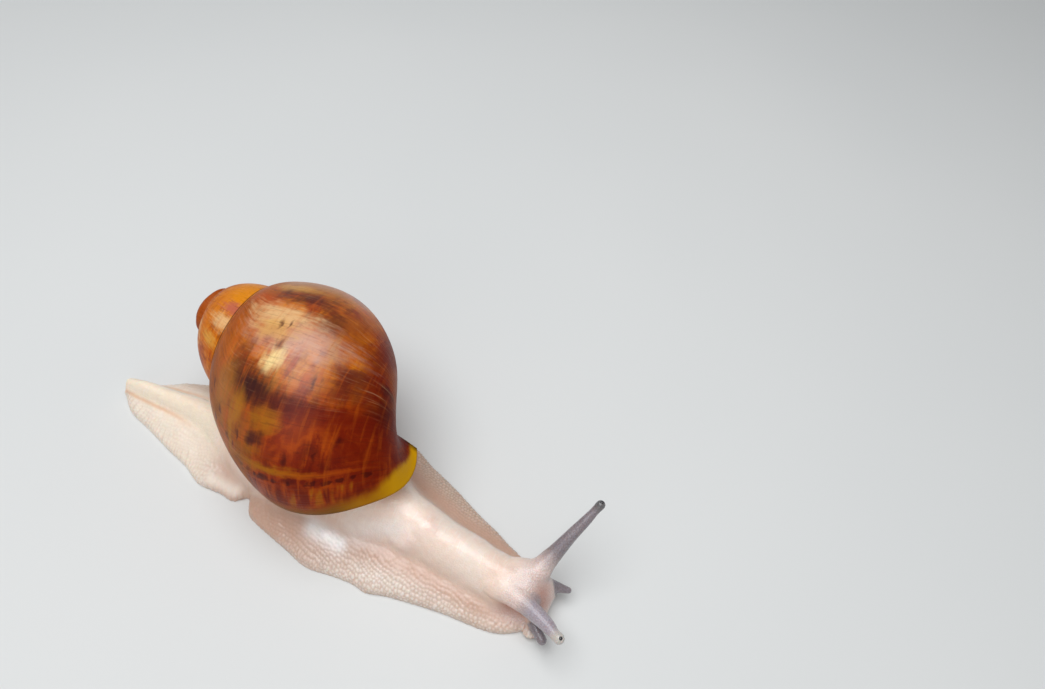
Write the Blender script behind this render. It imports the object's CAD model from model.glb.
# %% [markdown]
# # A giant African land snail, crawling
#
# This lesson dresses a measured model of a snail. The measured model is a set of plain
# solids: a shell, a body in several blocks, tentacles, eyes. They give every size and
# place. We keep those, and make three things that look alive: one polished shell with
# its growth lines and painted flames, one moist skin without a seam, and two eyes.
#
# The first cell loads the measured model as a frame. Nothing in it is moved.

# %% Load the measured model
import math

import bmesh
import bpy
import numpy as np
from mathutils import kdtree, Matrix, noise, Vector
from mathutils.bvhtree import BVHTree


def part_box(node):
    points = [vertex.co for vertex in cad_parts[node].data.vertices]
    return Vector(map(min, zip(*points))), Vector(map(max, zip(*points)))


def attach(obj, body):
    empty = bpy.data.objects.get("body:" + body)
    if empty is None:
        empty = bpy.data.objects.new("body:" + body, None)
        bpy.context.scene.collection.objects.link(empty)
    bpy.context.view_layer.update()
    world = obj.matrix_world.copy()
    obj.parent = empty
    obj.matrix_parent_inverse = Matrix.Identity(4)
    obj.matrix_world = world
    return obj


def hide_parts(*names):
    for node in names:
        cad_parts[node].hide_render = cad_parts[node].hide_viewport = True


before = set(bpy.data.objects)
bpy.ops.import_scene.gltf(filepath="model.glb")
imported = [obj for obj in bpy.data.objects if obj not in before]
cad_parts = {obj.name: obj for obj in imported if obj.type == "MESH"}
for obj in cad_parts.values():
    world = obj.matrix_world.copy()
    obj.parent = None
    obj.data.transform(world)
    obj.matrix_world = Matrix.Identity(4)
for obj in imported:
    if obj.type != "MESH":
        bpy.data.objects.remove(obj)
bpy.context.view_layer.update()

print("measured solids:", ", ".join(sorted(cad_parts)))

# %% [markdown]
# ## One set of sizes, in millimetres
#
# The snail was designed in millimetres, heading towards -Y, with its right side at -X.
# The measured model then had its origin moved under the middle of its box. One part that
# is easy to find in both is the left eye: its place in the design comes from its
# tentacle, and its place now comes from the frame. The difference is the shift.

# %% Eye places, and the shift from design to frame
MM = 0.001
# root, tip and radius of the bulb of each upper tentacle
UPPER_TENTACLES = {"left": (Vector((0.3, -41.4, 7.2)), Vector((14.9, -47.5, 18.3)), 0.95),
                   "right": (Vector((-4.7, -40.6, 6.6)), Vector((-8.9, -51.6, 9.0)), 1.10)}
EYE_OUT = 0.72                  # from the bulb's middle to the eye's, in bulb radii
EYE_AHEAD, EYE_UP = 0.45, 0.9   # where the eye faces


def eye_place(side):
    root, tip, bulb = UPPER_TENTACLES[side]
    along = (tip - root).normalized()
    facing = (EYE_AHEAD * along + Vector((0, 0, EYE_UP))).normalized()
    return tip - along * bulb + facing * EYE_OUT * bulb


eye_low, eye_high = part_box("eye_left")
SHIFT = (Vector(eye_low) + Vector(eye_high)) / (2 * MM) - eye_place("left")
print("design to frame, mm:", [round(v, 3) for v in SHIFT])


def in_scene(name, data):
    """A new object in the scene that shows this mesh, lamp or camera."""
    made = bpy.data.objects.new(name, data)
    bpy.context.scene.collection.objects.link(made)
    return made


def as_object(name, bm):
    mesh = bpy.data.meshes.new(name)
    bm.to_mesh(mesh)
    bm.free()
    return in_scene(name, mesh)


def finished(name, bm, look, nodes):
    """Moves a bmesh from the design into the frame and makes it a piece."""
    to_frame = Matrix.Scale(MM, 4) @ Matrix.Translation(SHIFT)
    bmesh.ops.transform(bm, matrix=to_frame, verts=bm.verts)
    piece = as_object(name, bm)
    mesh = piece.data
    mesh.shade_smooth()
    mesh.materials.append(look)
    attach(piece, "root")
    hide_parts(*nodes)
    print(name, "has", sum(len(p.vertices) - 2 for p in mesh.polygons), "triangles")


# %% [markdown]
# ## The camera
#
# The camera looks down at the snail from its right side and a little ahead, from about
# 14 cm above the ground, with a moderately wide lens. It is turned a few degrees about
# its own line of sight. We set it first, so that every later step can be looked at.

# %% Camera
def look_direction(azimuth, elevation):
    a, e = math.radians(azimuth), math.radians(elevation)
    return Vector((-math.sin(a) * math.cos(e), math.cos(a) * math.cos(e), -math.sin(e)))


CAMERA_PLACE = Vector((-56.0, -56.1, 144.0))
CAMERA_AZIMUTH, CAMERA_ELEVATION, CAMERA_ROLL = -67.9, 50.35, 7.08      # degrees
LENS, SENSOR, NEAR_LIMIT = 26.0, 36.0, 0.005

lens_data = bpy.data.cameras.new("studio_camera")
lens_data.sensor_width, lens_data.lens, lens_data.clip_start = SENSOR, LENS, NEAR_LIMIT
camera = in_scene("studio_camera", lens_data)
camera.rotation_mode = "QUATERNION"
looking = look_direction(CAMERA_AZIMUTH, CAMERA_ELEVATION).to_track_quat("-Z", "Y")
rolled = Matrix.Rotation(math.radians(CAMERA_ROLL), 4, "Z").to_quaternion()
camera.rotation_quaternion = looking @ rolled
camera.location = (CAMERA_PLACE + SHIFT) * MM
bpy.context.scene.camera = camera
print("camera is", round(camera.location.length / MM), "mm away")

# %% [markdown]
# ## Helpers for meshes
#
# Three small tools are used all along: a smooth curve through a few named sizes, evenly
# spaced numbers, and a sheet whose rows of points we place ourselves. The sheet is a
# grid from Blender's own operator, so we never write a list of faces.

# %% Mesh helpers
def smooth_value(table, y, column=1):
    """A smooth curve through the table's rows (cubic Hermite, slopes from neighbours)."""
    xs = [row[0] for row in table]
    vs = [row[column] for row in table]
    y = min(max(y, xs[0]), xs[-1])
    i = max(0, min(len(xs) - 2, int(np.searchsorted(xs, y)) - 1))

    def slope(k):
        if k == 0 or k == len(xs) - 1:
            j = 0 if k == 0 else len(xs) - 2
            return (vs[j + 1] - vs[j]) / (xs[j + 1] - xs[j])
        before = (vs[k] - vs[k - 1]) / (xs[k] - xs[k - 1])
        after = (vs[k + 1] - vs[k]) / (xs[k + 1] - xs[k])
        return 0.0 if before * after < 0 else 2 * before * after / (before + after + 1e-12)

    width = xs[i + 1] - xs[i]
    u = (y - xs[i]) / width
    return (vs[i] * (1 + 2 * u) * (1 - u) ** 2 + slope(i) * width * u * (1 - u) ** 2
            + vs[i + 1] * u * u * (3 - 2 * u) - slope(i + 1) * width * u * u * (1 - u))


def spaced(start, stop, count):
    return [start + (stop - start) * i / count for i in range(count + 1)]


def running_length(places):
    """The length of the way up to each place."""
    run = [0.0]
    for a, b in zip(places, places[1:]):
        run.append(run[-1] + math.dist(a, b))
    return run


def step_up(value, low, high):
    """0 below low, 1 above high and an easy curve between, for numbers or arrays."""
    u = np.clip((value - low) / (high - low), 0.0, 1.0)
    return u * u * (3 - 2 * u)


def face_out(bm):
    bmesh.ops.recalc_face_normals(bm, faces=bm.faces)
    if bm.calc_volume(signed=True) < 0:
        bmesh.ops.reverse_faces(bm, faces=bm.faces)
    return bm


def sheet_of(rows):
    """A grid with its points placed row by row."""
    bm = bmesh.new()
    bmesh.ops.create_grid(bm, x_segments=len(rows[0]) - 1, y_segments=len(rows) - 1, size=1.0)
    bm.verts.ensure_lookup_table()
    for vert, point in zip(bm.verts, [p for row in rows for p in row]):
        vert.co = point
    return bm


def close_up(bm, dist=1e-4):
    """Sews a sheet's meeting edges together and fills the holes that are left."""
    bmesh.ops.remove_doubles(bm, verts=bm.verts, dist=dist)
    holes = bmesh.ops.holes_fill(bm, edges=[e for e in bm.edges if e.is_boundary], sides=0)
    bmesh.ops.triangulate(bm, faces=holes["faces"])
    return face_out(bm)


def joined(first, second):
    """Adds the second bmesh to the first."""
    mesh = bpy.data.meshes.new("joined")
    second.to_mesh(mesh)
    second.free()
    first.from_mesh(mesh)
    bpy.data.meshes.remove(mesh)
    return first


# %% [markdown]
# ## How a shell grows
#
# A snail's shell is one tube. Its mouth keeps its shape, turns about an axis, and grows
# by the same factor in every turn. So one outline, the section of the tube, and one rule
# of growth make the whole shell. We call the angle about the axis *turn*, which is 0 at
# the lip and falls towards the apex, and the angle on the section *around*, which is 0
# facing outwards and 90 degrees at the base. Each growth line on the shell is one value
# of *turn*. These two numbers are later the shell's own map, on which it is painted.

# %% Sizes of the shell
SHELL_LENGTH = 59.4                     # mm; the section's sizes are parts of it
SHELL_APEX = Vector((11.7, 43.5, 24.4))
SHELL_TURN, SHELL_RISE = math.radians(3.9), math.radians(8.2)   # where the axis points
LIP_SPIN = math.radians(-19.7)          # where the lip stands about the axis
GROWTH, WHORLS = 1.94, 3.75             # growth in one turn, number of turns
SECTION_DOWN, SECTION_OUT = 0.600, 0.137
SECTION_HALF_LONG, SECTION_HALF_WIDE = 0.403, 0.240
SECTION_TILT = -0.050
SECTION_EGG, SECTION_LOZENGE, SECTION_TRIPLE = 0.051, 0.097, 0.016
APEX_FULLNESS = 0.047
SPIRE_SWELL, SWELL_AT, SWELL_SPAN = 0.127, -2.8 * math.pi, 1.1 * math.pi
LIP_LEAN, LIP_BOW, LIP_SHIFT = -0.265, 0.022, 0.020
LIP_TRIM, TRIM_AT, TRIM_SPAN = 0.20, 1.34, 0.44     # the lip's front corner is set back
SUTURE_EASE = 0.6
BLUNT_AT, BLUNT_SPAN, BLUNT_WIDER = 2.5, 1.5, 0.42  # mm down the axis, mm, share
BLUNT_TOP, BLUNT_LOWER = 2.0, 1.0
LIP_THICK = 1.0


def section_radius(around):
    shape = (1 + SECTION_EGG * math.sin(around) + SECTION_LOZENGE * math.cos(2 * around)
             + SECTION_TRIPLE * math.sin(3 * around))
    return shape / math.hypot(math.cos(around) / SECTION_HALF_WIDE,
                              math.sin(around) / SECTION_HALF_LONG)


def whorl_size(turn):
    coil = math.exp(math.log(GROWTH) * turn / (2 * math.pi))
    swell = 1 + SPIRE_SWELL * math.exp(-((turn - SWELL_AT) / SWELL_SPAN) ** 2)
    return coil, (APEX_FULLNESS + (1 - APEX_FULLNESS) * coil) * swell, swell


def whorl_point(turn, around):
    """(distance from the axis, distance down the axis) of a point on the whorl."""
    coil, tube, swell = whorl_size(turn)
    radius = section_radius(around) * tube
    x, y = radius * math.cos(around), radius * math.sin(around)
    c, s = math.cos(SECTION_TILT), math.sin(SECTION_TILT)
    return (SHELL_LENGTH * (SECTION_OUT * coil * swell + x * c + y * s),
            SHELL_LENGTH * (SECTION_DOWN * coil + y * c - x * s))


def on_section(turn, out, down):
    """(angle, distance) of a point, seen from the middle of that turn's section."""
    coil, tube, swell = whorl_size(turn)
    dx = (out / SHELL_LENGTH - SECTION_OUT * coil * swell) / tube
    dy = (down / SHELL_LENGTH - SECTION_DOWN * coil) / tube
    c, s = math.cos(SECTION_TILT), math.sin(SECTION_TILT)
    x, y = dx * c - dy * s, dx * s + dy * c
    return math.atan2(y, x), math.hypot(x, y)


print("the lip stands", round(whorl_point(0, 0)[0], 1), "mm from the axis")

# %% [markdown]
# ## Sutures
#
# Each whorl leans on the one before it, and the seam between them is the suture. We find
# it by walking along the section until the point dips into the whorl before. A whorl of
# the spire is seen only from its own suture to the next one.

# %% Where whorls meet
SUTURE_FROM, SUTURE_TO = 0.6, -2.4      # radians on the section, between which it is sought
AXIS_FROM, AXIS_TO = 1.0, 3.1


def crossing(value, start, stop, steps=90):
    """Where value() first changes sign on the way from start to stop."""
    before = value(start)
    for i in range(1, steps + 1):
        at = start + (stop - start) * i / steps
        now = value(at)
        if before * now <= 0:
            return at - (stop - start) / steps * now / (now - before)
        before = now
    return stop


def suture_at(turn):
    def depth(b):
        around, distance = on_section(turn - 2 * math.pi, *whorl_point(turn, b))
        return section_radius(around) - distance
    return crossing(depth, SUTURE_FROM, SUTURE_TO)


def next_suture_angle(turn):
    ahead = turn + 2 * math.pi
    return on_section(turn, *whorl_point(ahead, suture_at(ahead)))[0]


def axis_end(turn):
    return crossing(lambda b: whorl_point(turn, b)[0], AXIS_FROM, AXIS_TO)


print("at the lip the suture is at", round(math.degrees(suture_at(0.0))), "degrees")

# %% [markdown]
# ## From the map to space
#
# A growth line isn't a flat cut through the coil: it leans, more and more towards the
# lip. The lean eases off next to the suture, so that two whorls still meet edge to edge.

# %% Places on the shell
def shell_frame():
    axis = Vector((math.sin(SHELL_TURN) * math.cos(SHELL_RISE),
                   math.cos(SHELL_TURN) * math.cos(SHELL_RISE), math.sin(SHELL_RISE)))
    right = (Vector((-1, 0, 0)) + axis * axis.x).normalized()
    up = right.cross(axis)
    return axis, right, up if up.z > 0 else -up


AXIS, RIGHT, UP = shell_frame()


def blunted(out, down):
    """The first whorls are low and broad, so the top of the shell is blunt."""
    wide = math.exp(-((down - BLUNT_AT) / BLUNT_SPAN) ** 2)
    low = math.exp(-(down / BLUNT_TOP) ** 2)
    return out * (1 + BLUNT_WIDER * wide), down + BLUNT_LOWER * low


def shell_place(turn, out, down):
    out, down = blunted(out, down)
    angle = LIP_SPIN - turn
    return SHELL_APEX + out * (math.cos(angle) * RIGHT + math.sin(angle) * UP) - down * AXIS


def lip_lean(around):
    trim = LIP_TRIM * math.exp(-((around - TRIM_AT) / TRIM_SPAN) ** 2)
    return LIP_SHIFT + LIP_LEAN * math.sin(around) + LIP_BOW * math.cos(2 * around) - trim


def growth_row(turn, angles):
    part = max(0.0, 1 + turn / (2 * math.pi))
    row = []
    for b in angles:
        ease = min(1.0, (b - angles[0]) / SUTURE_EASE)
        lean = lip_lean(b) * part * ease * ease * (3 - 2 * ease)
        row.append(shell_place(turn + lean, *whorl_point(turn, b)))
    return row


# %% [markdown]
# ## The shell's sheet
#
# The coil is two grids. Rows are growth lines, columns run along the coil. The first
# grid is the spire. The second is the last whorl, which runs on over the base to the
# axis. A shared suture is made by copying the points of the later whorl's first column.
# Every corner of every face keeps its *turn* and *around* in a UV map called "growth".
# UVs belong to face corners, so the two sides of a suture can hold different values.

# %% Grow the coil
PER_TURN, ACROSS, BASE = 200, 84, 34
ON_TOP, OFF_THE_MAP = (-23.5, 0.0), (9.0, 0.0)      # map values of the filled holes
NEAR_APEX = 8.0                         # mm down the axis


def put_on_map(face, layer, value):
    for loop in face.loops:
        loop[layer].uv = value


def painted_sheet(rows, marks):
    """A sheet with its growth map: marks holds (turn, around) for each point."""
    bm = sheet_of(rows)
    layer = bm.loops.layers.uv.new("growth")
    flat = [m for row in marks for m in row]
    for face in bm.faces:
        for loop in face.loops:
            loop[layer].uv = flat[loop.vert.index]
    return bm


def shell_coil(per_turn, across, base):
    total = round(WHORLS * per_turn)
    step = 2 * math.pi / per_turn
    split = total - per_turn
    starts = [-math.pi / 2 if i < per_turn else suture_at((i - total) * step)
              for i in range(total + 1)]
    spire, spire_marks, last, last_marks = [], [], [], []
    for i in range(split + 1):
        turn = (i - total) * step
        angles = spaced(starts[i], next_suture_angle(turn), across)
        spire.append(growth_row(turn, angles))
        spire_marks.append([(turn, b) for b in angles])
    knee = next_suture_angle(-2 * math.pi)
    for i in range(split, total + 1):
        turn = (i - total) * step
        end = axis_end(turn)
        angles = spaced(starts[i], knee, across) + spaced(knee, end, base)[1:]
        row = growth_row(turn, angles)
        row[-1] = shell_place(turn, 0.0, whorl_point(turn, end)[1])
        last.append(row)
        last_marks.append([(turn, b) for b in angles])
    for i in range(split + 1):
        ahead = i + per_turn
        spire[i][-1] = spire[ahead][0] if ahead < split else last[ahead - split][0]
    for j in range(across + 1):
        last[0][j] = spire[split][j]
    bm = joined(painted_sheet(spire, spire_marks), painted_sheet(last, last_marks))
    bmesh.ops.remove_doubles(bm, verts=bm.verts, dist=1e-3)
    holes = bmesh.ops.holes_fill(bm, edges=[e for e in bm.edges if e.is_boundary], sides=0)
    filled = bmesh.ops.triangulate(bm, faces=holes["faces"])["faces"]
    layer = bm.loops.layers.uv["growth"]
    for face in filled:
        down = (SHELL_APEX - face.calc_center_median()).dot(AXIS)
        put_on_map(face, layer, ON_TOP if down < NEAR_APEX else OFF_THE_MAP)
    return face_out(bm)


shell_bm = shell_coil(PER_TURN, ACROSS, BASE)
print("the coil has", len(shell_bm.faces), "faces")

# %% [markdown]
# ## The opening
#
# The opening is hollowed with a plug that follows the lip and moves back along the coil.
# It is taken away with a Boolean, the tool for "this shape minus that one". What the
# plug leaves is the lip, a millimetre thick, and a shallow mouth that the mantle fills.

# %% Hollow the opening
HOLLOW_FROM, HOLLOW_TO, HOLLOW_NEAR = -0.85, 2.0, 7.0   # radians, radians, mm
APERTURE_DEPTH = 2.6


def opening(inset, shift, along=60, across=24):
    """The outline inside the lip, drawn in by inset and moved out along the coil."""
    out_of = RIGHT * math.sin(LIP_SPIN) - UP * math.cos(LIP_SPIN)
    angles = [suture_at(0.0)] + spaced(HOLLOW_FROM, HOLLOW_TO, along)
    lip = growth_row(0.0, angles)[1:]
    ring = lip[1:] + [lip[-1] + (lip[0] - lip[-1]) * k / across for k in range(1, across - 1)]
    count = len(ring)
    flat = [p - out_of * (p - SHELL_APEX).dot(out_of) for p in ring]
    drawn = []
    for i in range(count):
        inward = (flat[(i + 1) % count] - flat[i - 1]).normalized().cross(out_of)
        place = ring[i] + inward * inset - SHELL_APEX
        by = shift / max(HOLLOW_NEAR, place.cross(AXIS).length)
        size = math.exp(math.log(GROWTH) * by / (2 * math.pi))
        drawn.append(SHELL_APEX + size * (Matrix.Rotation(-by, 3, AXIS) @ place))
    return drawn + drawn[:1]


def plug(outlines):
    rings = [opening(inset, shift) for inset, shift in outlines]
    count = len(rings[0])
    ends = [[sum(ring[1:], Vector()) / (count - 1)] * count for ring in (rings[0], rings[-1])]
    return close_up(sheet_of([ends[0]] + rings + [ends[1]]))


def modified(obj, kind, **settings):
    """The object's mesh with one modifier applied, as a bmesh; the object is removed."""
    modifier = obj.modifiers.new(kind.lower(), kind)
    for key, value in settings.items():
        setattr(modifier, key, value)
    bpy.context.view_layer.update()
    bm = bmesh.new()
    bm.from_mesh(obj.evaluated_get(bpy.context.evaluated_depsgraph_get()).to_mesh())
    bpy.data.objects.remove(obj)
    return bm


def hollowed(bm, cutter_bm):
    layer = cutter_bm.loops.layers.uv.new("growth")
    for face in cutter_bm.faces:                # this is the inside of the mouth
        put_on_map(face, layer, OFF_THE_MAP)
    coil, cutter = as_object("coil", bm), as_object("cutter", cutter_bm)
    made = modified(coil, "BOOLEAN", object=cutter, operation="DIFFERENCE", solver="MANIFOLD")
    bpy.data.objects.remove(cutter)
    return made


shell_bm = hollowed(shell_bm, plug([(LIP_THICK, out) for out in (4.0, 1.0, -APERTURE_DEPTH)]))
print("hollowed, the shell has", len(shell_bm.faces), "faces")


SEAM_REACH = 3.0                        # mm
WHORLS_APART = 3.0                      # radians of turn between two whorls, at the least


def measure_seam(bm):
    """Gives each point its distance from the nearest suture, in mm, up to SEAM_REACH."""
    layer = bm.loops.layers.uv["growth"]
    seam = []
    for vert in bm.verts:
        turns = [loop[layer].uv.x for loop in vert.link_loops]
        if max(turns) < 1 and max(turns) - min(turns) > WHORLS_APART:
            seam.append(vert.co.copy())
    tree = kdtree.KDTree(len(seam))
    for i, place in enumerate(seam):
        tree.insert(place, i)
    tree.balance()
    far = bm.verts.layers.float.new("from_seam")
    for vert in bm.verts:
        vert[far] = min(SEAM_REACH, tree.find(vert.co)[2])
    return len(seam)


print("the suture runs through", measure_seam(shell_bm), "points")

# %% [markdown]
# ## Helpers for materials
#
# A material is a graph of nodes. A small class wraps such a graph and adds the few kinds
# of node that we need: a plain value is set, and another node's output is linked. *Span*
# eases a number from one range to another, and *over* lays a colour on the ground where
# all the masks given are bright.

# %% Node helpers
def linear(paint):
    """A painter's colour, 0 to 255 as on screen, made linear for the shader."""
    if isinstance(paint, bpy.types.NodeSocket):
        return paint
    parts = [v / 255 for v in paint]
    return (*[v / 12.92 if v <= 0.04045 else ((v + 0.055) / 1.055) ** 2.4 for v in parts], 1.0)


class Graph:
    """A node tree, and the kinds of node that these materials are made of."""

    def __init__(self, tree):
        self.tree = tree

    def fill(self, node, values):
        for key, value in values.items():
            if isinstance(value, bpy.types.NodeSocket):
                self.tree.links.new(value, node.inputs[key])
            else:
                node.inputs[key].default_value = value

    def add(self, kind, values, **settings):
        made = self.tree.nodes.new("ShaderNode" + kind)
        for key, value in settings.items():
            setattr(made, key, value)
        self.fill(made, values)
        return made

    def math(self, operation, a, b=0.0, c=0.0):
        return self.add("Math", {0: a, 1: b, 2: c}, operation=operation).outputs[0]

    def plus(self, a, b):
        return self.math("ADD", a, b)

    def minus(self, a, b):
        return self.math("SUBTRACT", a, b)

    def times(self, a, b):
        return self.math("MULTIPLY", a, b)

    def ratio(self, a, b):
        return self.math("DIVIDE", a, b)

    def times_plus(self, a, b, c):
        return self.math("MULTIPLY_ADD", a, b, c)

    def span(self, value, low, high, start=0.0, end=1.0):
        """value from low..high eased to start..end."""
        return self.add("MapRange", {"Value": value, "From Min": low, "From Max": high,
                        "To Min": start, "To Max": end},
                        interpolation_type="SMOOTHSTEP").outputs[0]

    def mixed(self, amount, a, b):
        """Two colours mixed: painter's colours, or outputs of other nodes."""
        return self.add("Mix", {0: amount, 6: linear(a), 7: linear(b)},
                        data_type="RGBA").outputs[2]

    def over(self, ground, paint, *masks):
        amount = masks[0]
        for mask in masks[1:]:
            amount = self.times(amount, mask)
        return self.mixed(amount, ground, paint)

    def noise(self, vector, scale, detail=2.0, roughness=0.5, distortion=0.0):
        return self.add("TexNoise", {"Vector": vector, "Scale": scale, "Detail": detail,
                        "Roughness": roughness, "Distortion": distortion}).outputs["Fac"]

    def stretched(self, vector, scale, detail=3.0, distortion=0.0, roughness=0.5):
        """Noise that is finer along one axis than along another."""
        mapped = self.add("Mapping", {"Vector": vector, "Scale": scale}).outputs[0]
        return self.noise(mapped, 1.0, detail, roughness, distortion)

    def split(self, vector):
        return self.add("SeparateXYZ", {0: vector}).outputs

    def place(self):
        return self.add("TexCoord", {}).outputs["Object"]

    def attribute(self, name, output="Fac"):
        return self.add("Attribute", {}, attribute_name=name).outputs[output]

    def group(self, tree, values, label=""):
        return self.add("Group", values, node_tree=tree, label=label).outputs[0]

    def surface(self, values):
        self.fill(self.tree.nodes["Principled BSDF"], values)

    def relief(self, height, strength, distance):
        bump = self.add("Bump", {"Height": height, "Strength": strength, "Distance": distance})
        self.surface({"Normal": bump.outputs[0]})

    def film(self, place, size, dry, wet):
        self.surface({"Roughness": self.group(FILM, {"Vector": place, "Size": size,
                                                     "Dry": dry, "Wet": wet})})


def new_material(name, roughness):
    look = bpy.data.materials.new(name)
    look.use_nodes = True
    g = Graph(look.node_tree)
    g.surface({"Roughness": roughness})
    return look, g


def new_group(name, inputs, output):
    """A group with numbers, or None for a place, as inputs, and one number as output."""
    tree = bpy.data.node_groups.new(name, "ShaderNodeTree")
    for label, value in inputs.items():
        kind = "NodeSocketVector" if value is None else "NodeSocketFloat"
        socket = tree.interface.new_socket(label, in_out="INPUT", socket_type=kind)
        if value is not None:
            socket.default_value = value
    tree.interface.new_socket(output, in_out="OUTPUT", socket_type="NodeSocketFloat")
    return Graph(tree), tree.nodes.new("NodeGroupInput").outputs


def closed(g, value):
    """Makes the value the group's output, and gives the group's tree."""
    g.fill(g.tree.nodes.new("NodeGroupOutput"), {0: value})
    return g.tree


# %% [markdown]
# ## Shared groups: fine grain and wetness
#
# Two effects belong to more than one material, so each is a node group with named
# inputs, built once. *Fine grain* is the small unevenness that any natural surface has.
# *Wet film* breaks the gloss up into wetter and drier places.

# %% Groups for grain and wetness
def fine_grain():
    g, given = new_group("fine grain", {"Vector": None, "Size": 1.0, "Roughness": 0.5},
                         "Height")
    scale = g.ratio(1.0, given["Size"])
    return closed(g, g.noise(given["Vector"], scale, 4.0, given["Roughness"]))


def wet_film():
    g, given = new_group("wet film", {"Vector": None, "Size": 1.0, "Dry": 0.5, "Wet": 0.2},
                         "Roughness")
    patches = g.noise(given["Vector"], g.ratio(1.0, given["Size"]), 3.0, 0.6)
    return closed(g, g.add("Mix", {0: g.span(patches, 0.4, 0.62), 2: given["Dry"],
                           3: given["Wet"]}, data_type="FLOAT").outputs[0])


GRAIN, FILM = fine_grain(), wet_film()
print("groups:", [g.name for g in bpy.data.node_groups])

# %% [markdown]
# ## Painting the shell
#
# Marks on a shell follow its growth: a flame is a colour that the mantle laid down for a
# while at one place on the lip. So they are painted on the growth map. One group makes a
# soft oval at a given *turn* and *around*, whose edge is broken up by a streaky noise.
# Another makes a row of beads along a growth line. A list of named marks, from the apex
# to the lip, then lays colour on colour.

# %% Groups for marks
def length_of(g, x, y):
    return g.math("SQRT", g.plus(g.times(x, x), g.times(y, y)))


def oval_mark():
    g, given = new_group("oval mark", {
        "Turn": 0.0, "Around": 0.0, "At turn": 0.0, "At around": 0.0, "Half turn": 0.1,
        "Half around": 0.1, "Soft": 0.3, "Strength": 1.0, "Streaks": 0.5, "Ragged": 1.0},
        "Mask")
    x = g.ratio(g.minus(given["Turn"], given["At turn"]), given["Half turn"])
    y = g.ratio(g.minus(given["Around"], given["At around"]), given["Half around"])
    broken = g.times(g.minus(given["Streaks"], 0.5), given["Ragged"])
    far = g.plus(length_of(g, x, y), broken)
    return closed(g, g.span(far, g.minus(1.0, given["Soft"]), g.plus(1.0, given["Soft"]),
                            given["Strength"], 0.0))


def bead_row():
    g, given = new_group("bead row", {
        "Turn": 0.0, "Around": 0.0, "At turn": 0.0, "From": 0.0, "To": 1.0, "Spacing": 0.17,
        "Half turn": 0.03, "Half around": 0.04, "Strength": 1.0}, "Mask")
    place = g.ratio(given["Around"], given["Spacing"])
    chance = g.add("TexWhiteNoise", {"W": g.math("FLOOR", place)},
                   noise_dimensions="1D").outputs["Value"]
    shifted = g.times(g.minus(chance, 0.5), 0.35)
    local = g.minus(g.minus(g.math("FRACT", place), 0.5), shifted)
    y = g.ratio(g.times(local, given["Spacing"]), given["Half around"])
    off = g.times_plus(shifted, 0.12, given["At turn"])
    x = g.ratio(g.minus(given["Turn"], off), given["Half turn"])
    mask = g.span(length_of(g, x, y), 0.6, 1.3, 1.0, 0.0)
    varied = g.times(mask, g.span(chance, 0.0, 0.6, 0.35, 1.0))
    start, end = given["From"], given["To"]
    within = g.times(g.span(given["Around"], g.minus(start, 0.04), g.plus(start, 0.04)),
                     g.span(given["Around"], g.plus(end, 0.04), g.minus(end, 0.04)))
    return closed(g, g.times(g.times(varied, within), given["Strength"]))


OVAL, BEADS = oval_mark(), bead_row()

# %% [markdown]
# ## The shell's colours
#
# The ground colour runs from amber through orange-brown to deep mahogany near the lip.
# Over it lie, from the back to the front: cream flames, maroon blotches, ochre patches,
# rows of dark beads along growth lines, short dark bars, and the yellow band of the
# newest shell. "lines" marks are ragged along growth lines, "spiral" ones along the coil.

# %% Colours and marks of the shell
AMBER, RUST, GLOW = (204, 112, 10), (138, 42, 3), (184, 76, 4)         # red, green, blue
MAHOGANY, MAROON, BLACK = (108, 22, 2), (66, 8, 4), (42, 6, 8)
CREAM, STRAW, OCHRE = (226, 178, 122), (212, 154, 64), (166, 102, 6)
PINK, PLUM, TAWNY = (186, 96, 70), (92, 32, 20), (146, 78, 6)

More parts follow.
